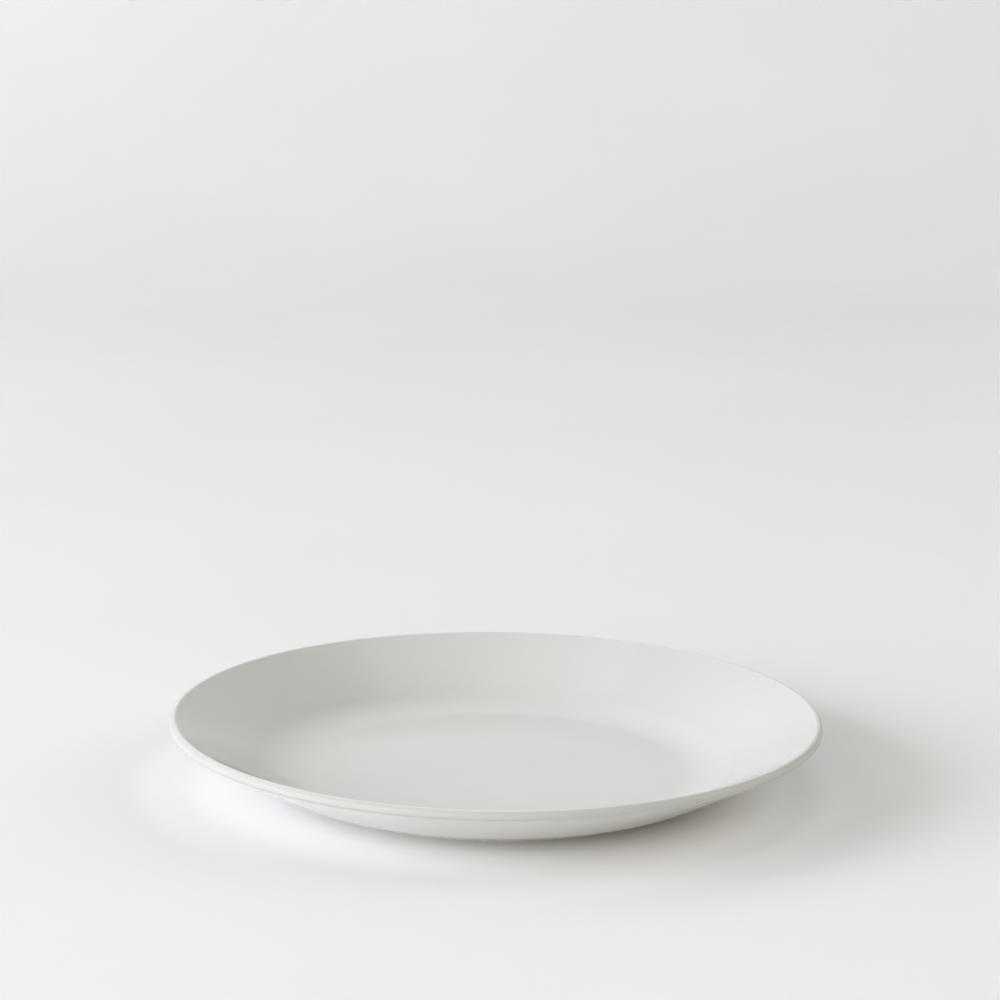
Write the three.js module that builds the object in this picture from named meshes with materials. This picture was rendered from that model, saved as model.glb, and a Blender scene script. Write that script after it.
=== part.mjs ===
// Round side plate: one fired clay body under a clear white glaze.
// Millimetres, +Z up, plate axis on Z, foot land on Z = 0.
import * as THREE from "three";

// Overall size
const PLATE_DIAMETER = 180;
const PLATE_HEIGHT = 20;

// Wall, measured over the glaze
const WALL_THICKNESS = 2.6;
const GLAZE_THICKNESS = 0.3;

// Eating side
const WELL_DIAMETER = 102;
const COVE_RADIUS = 32;

// Rounded bead along the rim
const LIP_RADIUS = 1.4;

// Foot ring
const FOOT_DIAMETER = 108;
const FOOT_WIDTH = 2.5;
const FOOT_HEIGHT = 1.6;
const FOOT_FILLET = 0.6;
const BARE_HEIGHT = 0.5;
const LAND_CHAMFER = 0.25;

// Mesh steps
const TURN_STEPS = 72;
const COVE_STEPS = 6;
const LIP_STEPS = 4;
const FILLET_STEPS = 3;

const QUARTER_TURN = Math.PI / 2;

// Radii and heights that follow from the sizes above
const rimRadius = PLATE_DIAMETER / 2;
const wellRadius = WELL_DIAMETER / 2;
const wellHeight = FOOT_HEIGHT + WALL_THICKNESS;
const lipRadius = Math.max(LIP_RADIUS, WALL_THICKNESS / 2);
const lipCentre = { r: rimRadius - lipRadius, z: PLATE_HEIGHT - lipRadius };
const footRadius = FOOT_DIAMETER / 2;
const footBore = footRadius - FOOT_WIDTH;
const footFillet = Math.min(FOOT_FILLET, 0.9 * (FOOT_HEIGHT - BARE_HEIGHT));

// The cove takes at most the room that the straight wall leaves it
const wallRun = lipCentre.r - wellRadius;
const wallRise = lipCentre.z - wellHeight;
const largestCove = (wallRun ** 2 + wallRise ** 2 - lipRadius ** 2) / (2 * (wallRise + lipRadius));
const coveRadius = Math.min(COVE_RADIUS, 0.9 * largestCove);
const coveCentre = { r: wellRadius, z: wellHeight + coveRadius };

// Slope of the straight wall, which touches the cove from below and the lip from above
const centresRise = lipCentre.z - coveCentre.z;
const wallSlope =
  Math.atan2(centresRise, wallRun) + Math.asin((coveRadius + lipRadius) / Math.hypot(wallRun, centresRise));

// Fillet where the outside of the wall runs into the foot ring
const heelRadius = coveRadius + WALL_THICKNESS;
const heelReach = Math.max(0, footRadius + footFillet - wellRadius);
const heelEnd = Math.asin(heelReach / (heelRadius + footFillet));
const outerFillet = {
  r: footRadius + footFillet,
  z: coveCentre.z - (heelRadius + footFillet) * Math.cos(heelEnd),
};
const innerFillet = { r: footBore - footFillet, z: FOOT_HEIGHT - footFillet };

/** Points of an arc in the section plane, from one angle to the other, both ends included. */
function arc(centre, radius, from, to, steps) {
  const points = [];
  for (let i = 0; i <= steps; i += 1) {
    const angle = from + ((to - from) * i) / steps;
    points.push(
      new THREE.Vector2(centre.r + radius * Math.cos(angle), centre.z + radius * Math.sin(angle)),
    );
  }
  return points;
}

/** Bead of the lip, set into the clay by inset, with points on its very top and on its outermost circle. */
function lipSection(inset) {
  const radius = lipRadius - inset;
  const crease = Math.acos((WALL_THICKNESS - lipRadius - inset) / radius);
  return [
    ...arc(lipCentre, radius, wallSlope + QUARTER_TURN, QUARTER_TURN, LIP_STEPS).slice(0, -1),
    ...arc(lipCentre, radius, QUARTER_TURN, 0, LIP_STEPS).slice(0, -1),
    ...arc(lipCentre, radius, 0, wallSlope - QUARTER_TURN - crease, LIP_STEPS),
  ];
}

/** Section from the middle of the well, over the lip, to the side of the foot, set into the clay by inset. */
function faceSection(inset) {
  return [
    new THREE.Vector2(0, wellHeight - inset),
    ...arc(coveCentre, coveRadius + inset, -QUARTER_TURN, wallSlope - QUARTER_TURN, COVE_STEPS),
    ...lipSection(inset),
    ...arc(coveCentre, heelRadius - inset, wallSlope - QUARTER_TURN, heelEnd - QUARTER_TURN, COVE_STEPS),
    ...arc(outerFillet, footFillet + inset, heelEnd + QUARTER_TURN, 2 * QUARTER_TURN, FILLET_STEPS),
    new THREE.Vector2(footRadius - inset, BARE_HEIGHT),
  ];
}

/** Section of the recess inside the foot ring, from the ring's inner side to the axis. */
function baseSection(inset) {
  return [
    new THREE.Vector2(footBore + inset, BARE_HEIGHT),
    ...arc(innerFillet, footFillet + inset, 0, QUARTER_TURN, FILLET_STEPS),
    new THREE.Vector2(0, FOOT_HEIGHT + inset),
  ];
}

/** Bare bottom of the foot ring, from its outer side to its inner side. */
function landSection() {
  const outer = footRadius - GLAZE_THICKNESS;
  const inner = footBore + GLAZE_THICKNESS;
  return [
    new THREE.Vector2(outer, LAND_CHAMFER),
    new THREE.Vector2(outer - LAND_CHAMFER, 0),
    new THREE.Vector2(inner + LAND_CHAMFER, 0),
    new THREE.Vector2(inner, LAND_CHAMFER),
  ];
}

/** One named solid turned about Z from a section that runs out along its top and back along its bottom. */
function turned(name, section, colour, roughness) {
  const geometry = new THREE.LatheGeometry([...section].reverse(), TURN_STEPS);
  geometry.rotateX(QUARTER_TURN);
  const material = new THREE.MeshStandardMaterial({ color: colour, roughness, metalness: 0 });
  material.name = name;
  const mesh = new THREE.Mesh(geometry, material);
  mesh.name = name;
  return mesh;
}

const bodySection = [...faceSection(GLAZE_THICKNESS), ...landSection(), ...baseSection(GLAZE_THICKNESS)];
const faceGlazeSection = [...faceSection(0), ...faceSection(GLAZE_THICKNESS).reverse()];
const baseGlazeSection = [...baseSection(GLAZE_THICKNESS).reverse(), ...baseSection(0)];

const plate = new THREE.Group();
plate.name = "side_plate";
plate.add(
  turned("porcelain_body", bodySection, 0xe9e4da, 0.8),
  turned("face_glaze", faceGlazeSection, 0xd8d8d2, 0.15),
  turned("base_glaze", baseGlazeSection, 0xd8d8d2, 0.15),
);

export default plate;
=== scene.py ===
"""Blender scene of a white glazed side plate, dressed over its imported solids.

The plate is turned from drawn sections, as a potter's jigger turns it: the clay body, the
glaze over its face and wall, and the glaze inside its foot ring. It stands on a pale paper
sweep under broad soft panels of light, the strong ones to its left and front and a weaker
fill to its right.
Lengths are in metres, +Z is up, and the plate's axis is on Z with its foot at Z = 0.
"""

from __future__ import annotations

import logging
import math
from dataclasses import dataclass, field
from enum import Enum
from typing import Iterable, Sequence

import bpy
from mathutils import Matrix, Vector

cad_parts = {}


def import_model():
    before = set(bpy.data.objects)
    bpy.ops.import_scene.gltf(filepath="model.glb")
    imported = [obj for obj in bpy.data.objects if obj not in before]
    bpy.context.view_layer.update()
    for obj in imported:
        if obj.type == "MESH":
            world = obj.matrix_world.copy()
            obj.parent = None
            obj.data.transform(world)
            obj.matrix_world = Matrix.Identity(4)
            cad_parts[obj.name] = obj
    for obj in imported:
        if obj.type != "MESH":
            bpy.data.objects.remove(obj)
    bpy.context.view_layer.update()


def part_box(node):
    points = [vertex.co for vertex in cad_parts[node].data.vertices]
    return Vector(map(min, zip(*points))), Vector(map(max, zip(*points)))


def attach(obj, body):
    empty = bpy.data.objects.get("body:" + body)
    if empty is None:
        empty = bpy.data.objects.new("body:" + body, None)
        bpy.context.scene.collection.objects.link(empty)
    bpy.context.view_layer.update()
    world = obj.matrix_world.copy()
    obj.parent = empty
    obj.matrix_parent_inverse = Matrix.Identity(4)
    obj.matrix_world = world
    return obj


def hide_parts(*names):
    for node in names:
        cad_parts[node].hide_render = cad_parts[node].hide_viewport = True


LOG = logging.getLogger("side_plate")

BODY = "root"
GLAZE_SHADE_AND_WEAR = "glaze_shade_and_wear"
QUARTER_TURN = math.pi / 2

# Nearly all values of a noise texture lie between these
NOISE_RANGE = (0.3, 0.7)

Point = tuple[float, float]
Colour = tuple[float, float, float]


class Node(str, Enum):
    """The plate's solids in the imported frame."""

    CLAY = "porcelain_body"
    FACE = "face_glaze"
    BASE = "base_glaze"


class Slot(str, Enum):
    """The record's material slots."""

    BISCUIT = "biscuit"
    GLAZE = "glaze"
    BASE_GLAZE = "base_glaze"


def deselect_all() -> None:
    """Leaves edit mode if need be and deselects every object."""
    if bpy.context.object and bpy.context.object.mode != "OBJECT":
        bpy.ops.object.mode_set(mode="OBJECT")
    bpy.ops.object.select_all(action="DESELECT")


def arc(centre: Point, radius: float, start: float, end: float, steps: int) -> list[Point]:
    """Points along a circular arc in the section plane.

    Args:
        centre: The arc's centre, as distance from the axis and height.
        radius: The arc's radius.
        start: Direction of the first point from the centre, in radians.
        end: Direction of the last point from the centre, in radians.
        steps: Number of straight steps along the arc.

    Returns:
        The points in order, both ends included.
    """
    turns = (start + (end - start) * i / steps for i in range(steps + 1))
    return [(centre[0] + radius * math.cos(a), centre[1] + radius * math.sin(a)) for a in turns]


@dataclass(frozen=True)
class PlateSizes:
    """The plate's driving sizes and the section lines that follow from them."""

    diameter: float
    height: float
    wall: float = 0.0026
    glaze: float = 0.0003
    well_diameter: float = 0.102
    cove_radius: float = 0.032
    lip_radius: float = 0.0014
    crease_radius: float = 0.0005
    foot_diameter: float = 0.108
    foot_width: float = 0.0025
    foot_height: float = 0.0016
    foot_fillet: float = 0.0006
    bare_height: float = 0.0005
    land_round: float = 0.0003
    long_arc_steps: int = 28
    lip_steps: int = 14
    small_arc_steps: int = 7
    rings_beside_lip: tuple[float, ...] = (0.0004, 0.0009, 0.0016, 0.0026)

    @classmethod
    def from_frame(cls) -> PlateSizes:
        """Takes the plate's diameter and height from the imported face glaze."""
        low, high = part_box(Node.FACE.value)
        return cls(diameter=high.x - low.x, height=high.z)

    @property
    def well_radius(self) -> float:
        """Radius of the flat of the well."""
        return self.well_diameter / 2

    @property
    def well_height(self) -> float:
        """Height of the flat of the well."""
        return self.foot_height + self.wall

    @property
    def lip_centre(self) -> Point:
        """Centre of the rounded bead along the rim."""
        return self.diameter / 2 - self.lip_radius, self.height - self.lip_radius

    @property
    def cove_centre(self) -> Point:
        """Centre of the curve between the well and the wall, and of the heel under it."""
        return self.well_radius, self.well_height + self.cove_radius

    @property
    def wall_slope(self) -> float:
        """Angle of the straight wall, which touches both the cove and the lip bead."""
        run = self.lip_centre[0] - self.cove_centre[0]
        rise = self.lip_centre[1] - self.cove_centre[1]
        reach = math.asin((self.cove_radius + self.lip_radius) / math.hypot(run, rise))
        return math.atan2(rise, run) + reach

    @property
    def heel_radius(self) -> float:
        """Radius of the outside of the cove."""
        return self.cove_radius + self.wall

    @property
    def foot_radius(self) -> float:
        """Outer radius of the foot ring."""
        return self.foot_diameter / 2

    @property
    def foot_bore(self) -> float:
        """Inner radius of the foot ring."""
        return self.foot_radius - self.foot_width

    def lip(self, inset: float) -> list[Point]:
        """Section of the bead and of the hollow that joins it to the outside of the wall.

        Args:
            inset: Depth under the glazed surface.

        Returns:
            Points from the inside of the wall over the rim to its outside.
        """
        slope = self.wall_slope
        # The hollow touches the bead and the outside of the wall, so its centre lies this far
        # from the bead's centre, and this far under it when measured square to the wall
        apart = self.lip_radius + self.crease_radius
        drop = self.wall - self.lip_radius + self.crease_radius
        away = slope - QUARTER_TURN - math.acos(drop / apart)
        crease = (
            self.lip_centre[0] + apart * math.cos(away),
            self.lip_centre[1] + apart * math.sin(away),
        )
        bead = self.lip_radius - inset
        inner = arc(
            self.lip_centre, bead, slope + QUARTER_TURN, QUARTER_TURN, self.small_arc_steps
        )
        crown = arc(self.lip_centre, bead, QUARTER_TURN, 0, self.lip_steps)
        under = arc(self.lip_centre, bead, 0, away, self.lip_steps)
        hollow = arc(
            crease,
            self.crease_radius + inset,
            away + math.pi,
            slope + QUARTER_TURN,
            self.small_arc_steps,
        )
        return inner + crown[1:] + under[1:] + hollow[1:]

    def beside_lip(self, end: Point) -> list[Point]:
        """Points down the straight wall from one end of the lip's section.

        Args:
            end: The first or last point of the lip's section.

        Returns:
            The points in order, the nearest to the lip first.
        """
        run, fall = math.cos(self.wall_slope), math.sin(self.wall_slope)
        return [(end[0] - run * away, end[1] - fall * away) for away in self.rings_beside_lip]

    def face(self, inset: float) -> list[Point]:
        """Section of the face, lip, wall and outside of the foot ring.

        Args:
            inset: Depth under the glazed surface.

        Returns:
            Points from the middle of the well to the outside of the foot ring.
        """
        slope = self.wall_slope
        fillet = self.foot_fillet
        heel_reach = self.foot_radius + fillet - self.well_radius
        heel_end = math.asin(heel_reach / (self.heel_radius + fillet))
        fillet_centre = (
            self.foot_radius + fillet,
            self.cove_centre[1] - (self.heel_radius + fillet) * math.cos(heel_end),
        )
        level = self.well_height - inset
        floor = [(0.0, level), (self.well_radius / 2, level)]
        cove = arc(
            self.cove_centre,
            self.cove_radius + inset,
            -QUARTER_TURN,
            slope - QUARTER_TURN,
            self.long_arc_steps,
        )
        lip = self.lip(inset)
        heel = arc(
            self.cove_centre,
            self.heel_radius - inset,
            slope - QUARTER_TURN,
            heel_end - QUARTER_TURN,
            self.long_arc_steps,
        )
        foot = arc(
            fillet_centre,
            fillet + inset,
            heel_end + QUARTER_TURN,
            math.pi,
            self.small_arc_steps,
        )
        inner_wall = self.beside_lip(lip[0])[::-1]
        outer_wall = self.beside_lip(lip[-1])
        return floor + cove + inner_wall + lip + outer_wall + heel + foot[1:]

    def base(self, inset: float) -> list[Point]:
        """Section of the recess inside the foot ring.

        Args:
            inset: Depth under the glazed surface.

        Returns:
            Points from the inside of the foot ring to the axis.
        """
        fillet = self.foot_fillet
        centre = (self.foot_bore - fillet, self.foot_height - fillet)
        corner = arc(centre, fillet + inset, 0, QUARTER_TURN, self.small_arc_steps)
        level = self.foot_height + inset
        return corner + [(self.foot_bore / 2, level), (0.0, level)]

    def glaze_end(self, radius: float, outward: int) -> list[Point]:
        """Rounded end of a glaze coat above the bare land of the foot.

        Args:
            radius: Radius of the glazed side of the foot ring.
            outward: 1 where that side faces away from the axis, -1 where it faces it.

        Returns:
            Points from the glazed surface to the clay.
        """
        centre = (radius - outward * self.glaze, self.bare_height + self.glaze)
        start = 0 if outward > 0 else -math.pi
        return arc(centre, self.glaze, start, -QUARTER_TURN, self.small_arc_steps)

    def land(self) -> list[Point]:
        """Section of the bare land that the foot stands on, from its outside to its inside."""
        outer, inner = self.foot_radius - self.glaze, self.foot_bore + self.glaze
        edge = self.land_round
        outside = arc((outer - edge, edge), edge, 0, -QUARTER_TURN, self.small_arc_steps)
        inside = arc((inner + edge, edge), edge, -QUARTER_TURN, -math.pi, self.small_arc_steps)
        return outside + inside


class ShaderSheet:
    """One material's node tree, with short calls for the nodes that the finishes share."""

    # The wave texture passes 20 radians per unit of length at scale 1
    WAVES_PER_UNIT = 20 / (2 * math.pi)
    RING_DETAIL = 2
    RING_DETAIL_SCALE = 0.2

    def __init__(self, name: str) -> None:
        """Starts a node material with a plain Principled shader.

        Args:
            name: The material's name.
        """
        self.material = bpy.data.materials.new(name)
        self.material.use_nodes = True
        self.tree = self.material.node_tree
        self.shader = self.tree.nodes["Principled BSDF"]
        self.place = self.add("ShaderNodeTexCoord").outputs["Object"]

    def add(self, kind: str) -> bpy.types.Node:
        """Adds a node of the given kind."""
        return self.tree.nodes.new(kind)

    def join(self, source: bpy.types.NodeSocket, target: bpy.types.NodeSocket) -> None:
        """Links one socket to another."""
        self.tree.links.new(source, target)

    def noise(self, size: float, detail: float = 2.0) -> bpy.types.NodeSocket:
        """Cloudy noise on the piece's own coordinates.

        Args:
            size: Width of one cloud.
            detail: Number of finer layers in it.

        Returns:
            The noise value, about 0.5 on average.
        """
        node = self.add("ShaderNodeTexNoise")
        node.inputs["Scale"].default_value = 1 / size
        node.inputs["Detail"].default_value = detail
        self.join(self.place, node.inputs["Vector"])
        return node.outputs["Fac"]

    def rings(self, spacing: float, wander: float) -> bpy.types.NodeSocket:
        """Fine rings about the plate's axis.

        Args:
            spacing: Distance from ring to ring.
            wander: How far the rings stray from true circles.

        Returns:
            The ring value, from 0 to 1.
        """
        node = self.add("ShaderNodeTexWave")
        node.wave_type = "RINGS"
        node.rings_direction = "Z"
        node.inputs["Scale"].default_value = 1 / (spacing * self.WAVES_PER_UNIT)
        node.inputs["Distortion"].default_value = wander
        node.inputs["Detail"].default_value = self.RING_DETAIL
        node.inputs["Detail Scale"].default_value = self.RING_DETAIL_SCALE
        self.join(self.place, node.inputs["Vector"])
        return node.outputs["Fac"]

    def attribute(self, name: str) -> bpy.types.NodeSocket:
        """The value of one of the piece's own point attributes."""
        node = self.add("ShaderNodeAttribute")
        node.attribute_name = name
        return node.outputs["Fac"]

    def spread(
        self, value: bpy.types.NodeSocket, given: Sequence[float], wanted: Sequence[float]
    ) -> bpy.types.NodeSocket:
        """Maps a value from one range to another, held at both ends.

        Args:
            value: The socket to map.
            given: Its lowest and highest value.
            wanted: What these become.

        Returns:
            The mapped value.
        """
        node = self.add("ShaderNodeMapRange")
        self.join(value, node.inputs["Value"])
        node.inputs["From Min"].default_value, node.inputs["From Max"].default_value = given
        node.inputs["To Min"].default_value, node.inputs["To Max"].default_value = wanted
        return node.outputs["Result"]

    def tones(
        self, value: bpy.types.NodeSocket, stops: Iterable[tuple[float, Colour]]
    ) -> bpy.types.NodeSocket:
        """Colours a value by a smooth ramp.

        Args:
            value: The socket to colour.
            stops: Places on the ramp, from 0 to 1, with their colours.

        Returns:
            The colour.
        """
        node = self.add("ShaderNodeValToRGB")
        node.color_ramp.interpolation = "EASE"
        marks = node.color_ramp.elements
        for spare in list(marks)[1:]:
            marks.remove(spare)
        for number, (place, colour) in enumerate(stops):
            mark = marks[0] if number == 0 else marks.new(place)
            mark.position = place
            mark.color = (*colour, 1)
        self.join(value, node.inputs["Fac"])
        return node.outputs["Color"]

    def tint(
        self, colour: bpy.types.NodeSocket, other: bpy.types.NodeSocket
    ) -> bpy.types.NodeSocket:
        """Multiplies one varying colour by another."""
        node = self.add("ShaderNodeMix")
        node.data_type = "RGBA"
        node.blend_type = "MULTIPLY"
        node.inputs["Factor"].default_value = 1
        self.join(colour, node.inputs["A"])
        self.join(other, node.inputs["B"])
        return node.outputs["Result"]

    def total(
        self, value: bpy.types.NodeSocket, other: bpy.types.NodeSocket
    ) -> bpy.types.NodeSocket:
        """Adds one varying value to another."""
        node = self.add("ShaderNodeMath")
        node.operation = "ADD"
        self.join(value, node.inputs[0])
        self.join(other, node.inputs[1])
        return node.outputs["Value"]

    def bump(
        self,
        height: bpy.types.NodeSocket,
        depth: float,
        over: bpy.types.NodeSocket | None = None,
    ) -> bpy.types.NodeSocket:
        """Turns a height into a surface direction.

        Args:
            height: The height, from 0 to 1.
            depth: The real depth of that range.
            over: The surface direction of a coarser layer under it.

        Returns:
            The surface direction.
        """
        node = self.add("ShaderNodeBump")
        node.inputs["Distance"].default_value = depth
        self.join(height, node.inputs["Height"])
        if over:
            self.join(over, node.inputs["Normal"])
        return node.outputs["Normal"]


@dataclass(frozen=True)
class GlazeFinish:
    """Glossy white glaze, with painted shade in its creases, on its lip and on its upward slopes,
    and rougher where the lip is worn thin.
    """

    name: str
    colour: Colour = (0.75, 0.75, 0.73)
    # Painted shade: glaze gathered in creases, darkened well past its own grey to stand for the
    # creases' shade
    pooled_shade_colour: Colour = (0.52, 0.52, 0.495)
    # Painted shade: the lip's bead and the upward slopes of the wall, darker to stand for the
    # shade on them
    thin_shade_colour: Colour = (0.55, 0.547, 0.53)
    cloud_size: float = 0.028
    cloud_shades: tuple[Colour, Colour] = ((0.985, 0.985, 0.98), (1.0, 1.0, 1.0))
    roughness: tuple[float, float] = (0.07, 0.11)
    thin_roughness: float = 0.4
    worn_depth: float = 0.2
    ior: float = 1.5
    swell_size: float = 0.011
    swell_depth: float = 0.000001
    peel_size: float = 0.0016
    peel_depth: float = 0.0000003
    ring_spacing: float = 0.0021
    ring_wander: float = 1.5
    ring_depth: float = 0.0

    def material(self) -> bpy.types.Material:
        """Makes the glaze's node material."""
        sheet = ShaderSheet(self.name)
        # The stored mark paints shade into the colour: darker in creases, on the lip and on
        # upward slopes
        depth = sheet.attribute(GLAZE_SHADE_AND_WEAR)
        coat = sheet.tones(
            depth, [(0.0, self.thin_shade_colour), (0.5, self.colour), (1.0, self.pooled_shade_colour)]
        )
        clouds = sheet.noise(self.cloud_size, detail=3)
        shade = sheet.tones(clouds, zip(NOISE_RANGE, self.cloud_shades))
        sheet.join(sheet.tint(coat, shade), sheet.shader.inputs["Base Color"])
        gloss = sheet.spread(sheet.noise(self.swell_size, detail=4), NOISE_RANGE, self.roughness)
        wear = sheet.spread(depth, (0.0, self.worn_depth), (self.thin_roughness, 0.0))
        sheet.join(sheet.total(gloss, wear), sheet.shader.inputs["Roughness"])
        sheet.shader.inputs["IOR"].default_value = self.ior
        skin = sheet.bump(sheet.noise(self.swell_size, detail=1), self.swell_depth)
        skin = sheet.bump(sheet.noise(self.peel_size, detail=2), self.peel_depth, skin)
        if self.ring_depth:
            rings = sheet.rings(self.ring_spacing, self.ring_wander)
            skin = sheet.bump(rings, self.ring_depth, skin)
        sheet.join(skin, sheet.shader.inputs["Normal"])
        return sheet.material


@dataclass(frozen=True)
class BiscuitFinish:
    """Bare fired clay: matt, slightly grainy, ground flat in fine rings on the land."""

    name: str
    colours: tuple[Colour, Colour] = ((0.60, 0.57, 0.52), (0.70, 0.68, 0.63))
    grain_size: float = 0.0009
    grain_depth: float = 0.00002
    grind_spacing: float = 0.00035
    grind_wander: float = 0.6
    grind_depth: float = 0.000008
    roughness: tuple[float, float] = (0.7, 0.9)

    def material(self) -> bpy.types.Material:
        """Makes the bare clay's node material."""
        sheet = ShaderSheet(self.name)
        grain = sheet.noise(self.grain_size, detail=5)
        sheet.join(
            sheet.tones(grain, zip(NOISE_RANGE, self.colours)), sheet.shader.inputs["Base Color"]
        )
        sheet.join(
            sheet.spread(grain, NOISE_RANGE, self.roughness), sheet.shader.inputs["Roughness"]
        )
        skin = sheet.bump(grain, self.grain_depth)
        grinding = sheet.rings(self.grind_spacing, self.grind_wander)
        skin = sheet.bump(grinding, self.grind_depth, skin)
        sheet.join(skin, sheet.shader.inputs["Normal"])
        return sheet.material


@dataclass(frozen=True)
class PaperFinish:
    """Matt pale paper with a faint tooth."""

    name: str
    colours: tuple[Colour, Colour] = ((0.92, 0.92, 0.925), (0.94, 0.94, 0.945))
    patch_size: float = 0.25
    tooth_size: float = 0.0012
    tooth_depth: float = 0.00003
    roughness: float = 0.9
    specular: float = 0.1

    def material(self) -> bpy.types.Material:
        """Makes the paper's node material."""
        sheet = ShaderSheet(self.name)
        patches = sheet.tones(sheet.noise(self.patch_size), zip(NOISE_RANGE, self.colours))
        sheet.join(patches, sheet.shader.inputs["Base Color"])
        sheet.shader.inputs["Roughness"].default_value = self.roughness
        sheet.shader.inputs["Specular IOR Level"].default_value = self.specular
        tooth = sheet.bump(sheet.noise(self.tooth_size, detail=3), self.tooth_depth)
        sheet.join(tooth, sheet.shader.inputs["Normal"])
        return sheet.material


@dataclass
class TurnedPiece:
    """A piece turned about the plate's axis from a section that runs from axis to axis."""

    sizes: PlateSizes
    node: Node
    slot: Slot
    finish: GlazeFinish | BiscuitFinish
    turn_steps: int = 288
    merge_distance: float = 1e-7
    sharp_angle: float = math.radians(38)

    def section(self) -> list[Point]:
        """The piece's section, from axis to axis."""
        raise NotImplementedError

    def draw(self) -> bpy.types.Object:
        """Draws the section in the XZ plane, one extruded corner after another.

        Returns:
            The new object, in edit mode, holding the section as a chain of edges.
        """
        points = [Vector((r, 0, z)) for r, z in self.section()]
        deselect_all()
        bpy.ops.mesh.primitive_plane_add(size=self.sizes.wall, location=points[0])
        piece = bpy.context.object
        piece.name = piece.data.name = f"turned_{self.node.value}"
        bpy.ops.object.transform_apply(location=True, rotation=True, scale=True)
        bpy.ops.object.mode_set(mode="EDIT")
        bpy.ops.mesh.select_all(action="SELECT")
        bpy.ops.mesh.merge(type="CENTER")
        for here, there in zip(points, points[1:]):
            step = there - here
            if step.length > self.merge_distance:
                bpy.ops.mesh.extrude_vertices_move(TRANSFORM_OT_translate={"value": step})
        return piece

    def build(self) -> bpy.types.Object:
        """Turns the section once round and closes the shell.

        Returns:
            The finished mesh object, at the origin.
        """
        piece = self.draw()
        bpy.ops.mesh.select_all(action="SELECT")
        bpy.ops.mesh.spin(
            steps=self.turn_steps, angle=2 * math.pi, center=(0, 0, 0), axis=(0, 0, 1)
        )
        bpy.ops.mesh.select_all(action="SELECT")
        bpy.ops.mesh.remove_doubles(threshold=self.merge_distance)
        bpy.ops.mesh.normals_make_consistent(inside=False)
        bpy.ops.object.mode_set(mode="OBJECT")
        bpy.ops.object.shade_smooth_by_angle(angle=self.sharp_angle)
        return piece

    def dress(self, piece: bpy.types.Object) -> None:
        """Gives the piece its finish."""
        piece.data.materials.append(self.finish.material())

    def make(self) -> bpy.types.Object:
        """Builds and dresses the piece, and puts it in its node's place.

        Returns:
            The finished object.
        """
        piece = self.build()
        self.dress(piece)
        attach(piece, BODY)
        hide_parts(self.node.value)
        return piece


@dataclass
class GlazedPiece(TurnedPiece):
    """A coat of glaze with painted shade where it gathers in creases and where it wears thin on
    the lip and on upward slopes.

    The stored mark is 0.5 on level ground, up to 1 in the creases and down to 0 on the worn
    lip and steep slopes; both ends darken the colour as painted shade, and the lip is rougher.
    """

    # Reach of the painted shade about a crease
    pool_shade_reach: float = 0.0006
    thin_shade_reach: float = 0.0005
    # Painted shade on upward-facing slopes, darker the steeper they are
    slope_shading: float = 3.6

    def shade_pools(self) -> list[Point]:
        """Places in the section where the glaze gathers, darkened there as painted shade."""
        raise NotImplementedError

    def thin_shaded_places(self) -> list[Point]:
        """Places in the section where the glaze runs thin, rougher and darkened there as painted
        shade.
        """
        raise NotImplementedError

    @staticmethod
    def closeness(place: Point, marks: Sequence[Point], reach: float) -> float:
        """How close a place is to the nearest mark.

        Args:
            place: A point of the section.
            marks: The points to compare it with.
            reach: Distance within which a mark is felt.

        Returns:
            1 on a mark, falling to 0 a few reaches away.
        """
        gap = min(math.dist(place, mark) for mark in marks)
        return math.exp(-((gap / reach) ** 2))

    def dress(self, piece: bpy.types.Object) -> None:
        """Gives the coat its finish and stores how much painted shade and wear it gets at each
        point.
        """
        super().dress(piece)
        depth = piece.data.attributes.new(GLAZE_SHADE_AND_WEAR, "FLOAT", "POINT")
        shade_pools, thin_shaded_places = self.shade_pools(), self.thin_shaded_places()
        for vertex, mark in zip(piece.data.vertices, depth.data):
            place = (math.hypot(vertex.co.x, vertex.co.y), vertex.co.z)
            pooled_shade = self.closeness(place, shade_pools, self.pool_shade_reach)
            thinned_shade = self.closeness(place, thin_shaded_places, self.thin_shade_reach)
            # Painted shade: upward-facing slopes darken with their steepness
            if vertex.normal.z > 0:
                thinned_shade = max(thinned_shade, self.slope_shading * (1 - vertex.normal.z))
            mark.value = 0.5 + pooled_shade / 2 if pooled_shade > thinned_shade else 0.5 - min(thinned_shade, 1) / 2


@dataclass
class ClayBody(TurnedPiece):
    """The fired clay, bare only on the land of its foot ring."""

    def section(self) -> list[Point]:
        """The clay under both coats of glaze and round the bare land."""
        sizes = self.sizes
        return sizes.face(sizes.glaze) + sizes.land() + sizes.base(sizes.glaze)


@dataclass
class FaceGlaze(GlazedPiece):
    """The glaze over the face, the lip, the wall and the outside of the foot ring."""

    # Arc of the bead worn rougher and darkened as painted shade
    worn_shaded_arc: tuple[float, float] = (math.radians(45), math.radians(-57))

    def section(self) -> list[Point]:
        """The outside of the coat, then the clay side of it back to the axis."""
        sizes = self.sizes
        end = sizes.glaze_end(sizes.foot_radius, 1)
        return sizes.face(0) + end + sizes.face(sizes.glaze)[::-1]

    def shade_pools(self) -> list[Point]:
        """The hollow under the lip and the fillet above the foot."""
        sizes = self.sizes
        hollow = sizes.lip(0)[-sizes.small_arc_steps:]
        return [hollow[len(hollow) // 2], (sizes.foot_radius, sizes.foot_height)]

    def thin_shaded_places(self) -> list[Point]:
        """The outside of the lip's bead, between its crown and the hollow under it."""
        sizes = self.sizes
        return arc(sizes.lip_centre, sizes.lip_radius, *self.worn_shaded_arc, sizes.lip_steps)


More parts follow.
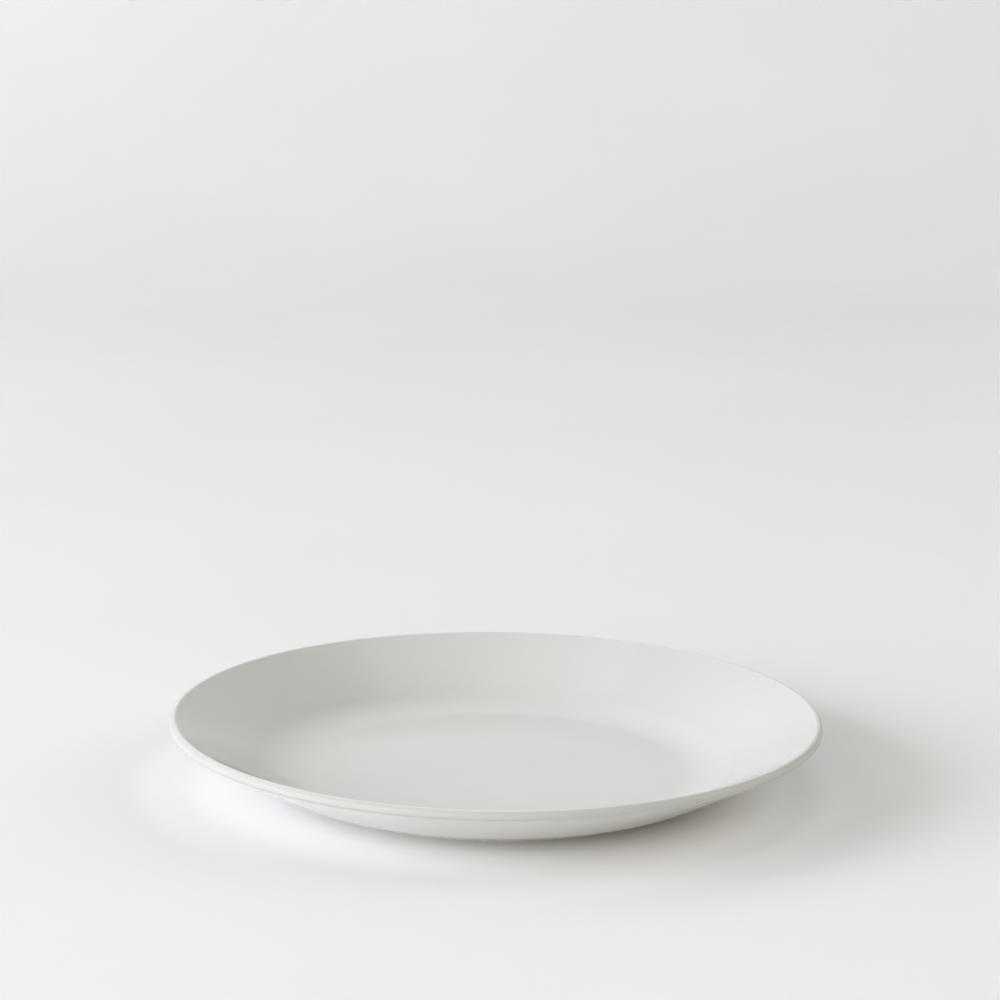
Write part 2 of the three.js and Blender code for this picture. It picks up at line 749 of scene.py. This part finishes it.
@dataclass
class BaseGlaze(GlazedPiece):
    """The glaze in the recess inside the foot ring."""

    def section(self) -> list[Point]:
        """The clay side of the coat, then its outside back to the axis."""
        sizes = self.sizes
        end = sizes.glaze_end(sizes.foot_bore, -1)
        return sizes.base(sizes.glaze)[::-1] + end[::-1] + sizes.base(0)

    def shade_pools(self) -> list[Point]:
        """The corner between the recess and the foot ring."""
        return [(self.sizes.foot_bore, self.sizes.foot_height)]

    def thin_shaded_places(self) -> list[Point]:
        """The edge above the bare land."""
        return [(self.sizes.foot_bore, self.sizes.bare_height)]


@dataclass
class PaperSweep:
    """Pale paper on the table, curved up into a backdrop."""

    finish: PaperFinish
    width: float = 7.0
    front: float = -3.4
    back: float = 0.95
    curve_radius: float = 0.9
    wall_height: float = 2.6
    curve_steps: int = 32
    merge_distance: float = 1e-6

    def make(self) -> bpy.types.Object:
        """Builds the sweep from a flat sheet, its curve and its wall.

        Returns:
            The sweep.
        """
        deselect_all()
        depth = self.back - self.front
        middle = self.front + depth / 2
        bpy.ops.mesh.primitive_plane_add(size=1, location=(0, middle, 0))
        sweep = bpy.context.object
        sweep.name = sweep.data.name = "paper_sweep"
        sweep.scale = (self.width, depth, 1)
        bpy.ops.object.transform_apply(location=True, rotation=True, scale=True)
        # Only the rear edge of the flat sheet lies behind its middle
        for edge in sweep.data.edges:
            ends = [sweep.data.vertices[i].co.y for i in edge.vertices]
            edge.select = min(ends) > middle
        for vertex in sweep.data.vertices:
            vertex.select = vertex.co.y > middle
        for face in sweep.data.polygons:
            face.select = False
        bpy.ops.object.mode_set(mode="EDIT")
        bpy.ops.mesh.spin(
            steps=self.curve_steps,
            angle=-QUARTER_TURN,
            center=(0, self.back, self.curve_radius),
            axis=(1, 0, 0),
        )
        bpy.ops.mesh.extrude_region_move(
            TRANSFORM_OT_translate={"value": (0, 0, self.wall_height)}
        )
        bpy.ops.mesh.select_all(action="SELECT")
        bpy.ops.mesh.remove_doubles(threshold=self.merge_distance)
        bpy.ops.object.mode_set(mode="OBJECT")
        bpy.ops.object.shade_smooth()
        sweep.data.materials.append(self.finish.material())
        return sweep


@dataclass(frozen=True)
class SoftBox:
    """A soft panel of light that faces the plate, with or without a mirror image in its glaze."""

    name: str
    bearing: float
    height_angle: float
    power: float
    colour: Colour
    distance: float = 2.2
    width: float = 1.5
    tall: float = 1.1
    mirrored: bool = True

    def make(self) -> bpy.types.Object:
        """Adds the panel, turned to the plate and hidden from the camera itself.

        Returns:
            The light.
        """
        turn, rise = math.radians(self.bearing), math.radians(self.height_angle)
        level = self.distance * math.cos(rise)
        place = Vector(
            (level * math.cos(turn), level * math.sin(turn), self.distance * math.sin(rise))
        )
        bpy.ops.object.light_add(
            type="AREA", location=place, rotation=(-place).to_track_quat("-Z", "Y").to_euler()
        )
        panel = bpy.context.object
        panel.name = panel.data.name = self.name
        panel.data.shape = "RECTANGLE"
        panel.data.size, panel.data.size_y = self.width, self.tall
        panel.data.energy = self.power
        panel.data.color = self.colour
        panel.visible_camera = False
        panel.visible_glossy = self.mirrored
        return panel


@dataclass
class Studio:
    """The soft boxes and the pale room about them."""

    backdrop_colour: Colour = (0.80, 0.80, 0.80)
    mirrored_colour: Colour = (0.60, 0.60, 0.60)
    boxes: list[SoftBox] = field(
        default_factory=lambda: [
            SoftBox("rear_left_panel", 150, 40, power=6.4, colour=(1.0, 0.98, 0.84)),
            SoftBox(
                "left_panel", 180, 18, power=17.5, colour=(0.86, 0.88, 1.0), mirrored=False
            ),
            SoftBox(
                "front_left_panel", 205, 18, power=38.0, colour=(0.90, 0.92, 1.0), mirrored=False
            ),
            SoftBox(
                "front_panel", 255, 18, power=22.6, colour=(1.0, 0.95, 0.82), mirrored=False
            ),
            SoftBox("right_fill", 15, 18, power=10.0, colour=(1.0, 0.91, 0.64)),
            SoftBox("high_right_fill", 0, 40, power=10.4, colour=(0.87, 0.91, 1.0)),
            SoftBox("overhead_panel", 0, 88, power=6.0, colour=(0.96, 0.98, 1.0)),
        ]
    )

    def make(self) -> None:
        """Adds the soft boxes and the world, a pale room that only the camera and gloss see."""
        for box in self.boxes:
            box.make()
        world = bpy.data.worlds.new("room")
        bpy.context.scene.world = world
        world.use_nodes = True
        nodes, links = world.node_tree.nodes, world.node_tree.links
        path = nodes.new("ShaderNodeLightPath")
        shade = nodes["Background"]
        shade.inputs["Strength"].default_value = 0
        for rays, colour in (
            ("Is Glossy Ray", self.mirrored_colour),
            ("Is Camera Ray", self.backdrop_colour),
        ):
            pale = nodes.new("ShaderNodeBackground")
            pale.inputs["Color"].default_value = (*colour, 1)
            choice = nodes.new("ShaderNodeMixShader")
            links.new(path.outputs[rays], choice.inputs["Fac"])
            links.new(shade.outputs[0], choice.inputs[1])
            links.new(pale.outputs[0], choice.inputs[2])
            shade = choice
        links.new(shade.outputs[0], nodes["World Output"].inputs["Surface"])


@dataclass(frozen=True)
class PhotoCamera:
    """The camera at the photograph's viewing angle."""

    image_width: float = 1000
    focal_pixels: float = 2900
    sensor_width: float = 36
    distance: float = 0.81
    elevation: float = math.radians(17.1)
    target_height: float = 0.0024
    tilt_up: float = math.radians(5.37)
    turn_right: float = math.radians(0.02)
    roll: float = math.radians(0.78)

    def make(self) -> bpy.types.Object:
        """Adds the camera: aimed at the plate, then tilted, turned and rolled in its own axes.

        Returns:
            The camera.
        """
        back = Vector((0, -math.cos(self.elevation), math.sin(self.elevation)))
        aim = (-back).to_track_quat("-Z", "Y").to_matrix()
        tilt = Matrix.Rotation(self.tilt_up, 3, "X")
        turn = Matrix.Rotation(-self.turn_right, 3, "Y")
        roll = Matrix.Rotation(self.roll, 3, "Z")
        bpy.ops.object.camera_add(
            location=back * self.distance + Vector((0, 0, self.target_height)),
            rotation=(aim @ tilt @ turn @ roll).to_euler(),
        )
        camera = bpy.context.object
        camera.name = camera.data.name = "photo_camera"
        camera.data.sensor_width = self.sensor_width
        camera.data.lens = self.focal_pixels / self.image_width * self.sensor_width
        camera.data.dof.use_dof = False
        bpy.context.scene.camera = camera
        return camera


def main() -> None:
    """Builds the plate, its stage, its light and its camera in order."""
    logging.basicConfig(level=logging.INFO, format="%(name)s: %(message)s")
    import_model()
    sizes = PlateSizes.from_frame()
    glaze = GlazeFinish("white_glaze")
    base_glaze = GlazeFinish("foot_recess_glaze", ring_depth=0.000006)
    turned = [
        ClayBody(sizes, Node.CLAY, Slot.BISCUIT, BiscuitFinish("bare_clay")),
        FaceGlaze(sizes, Node.FACE, Slot.GLAZE, glaze),
        BaseGlaze(sizes, Node.BASE, Slot.BASE_GLAZE, base_glaze),
    ]
    for part in turned:
        piece = part.make()
        LOG.info("%s: %d faces", piece.name, len(piece.data.polygons))
    sweep = PaperSweep(PaperFinish("pale_paper")).make()
    LOG.info("%s: %d faces", sweep.name, len(sweep.data.polygons))
    Studio().make()
    camera = PhotoCamera().make()
    LOG.info("%s: %.1f mm lens", camera.name, camera.data.lens)
    bpy.context.scene.view_settings.view_transform = "Standard"


if __name__ == "__main__":
    main()
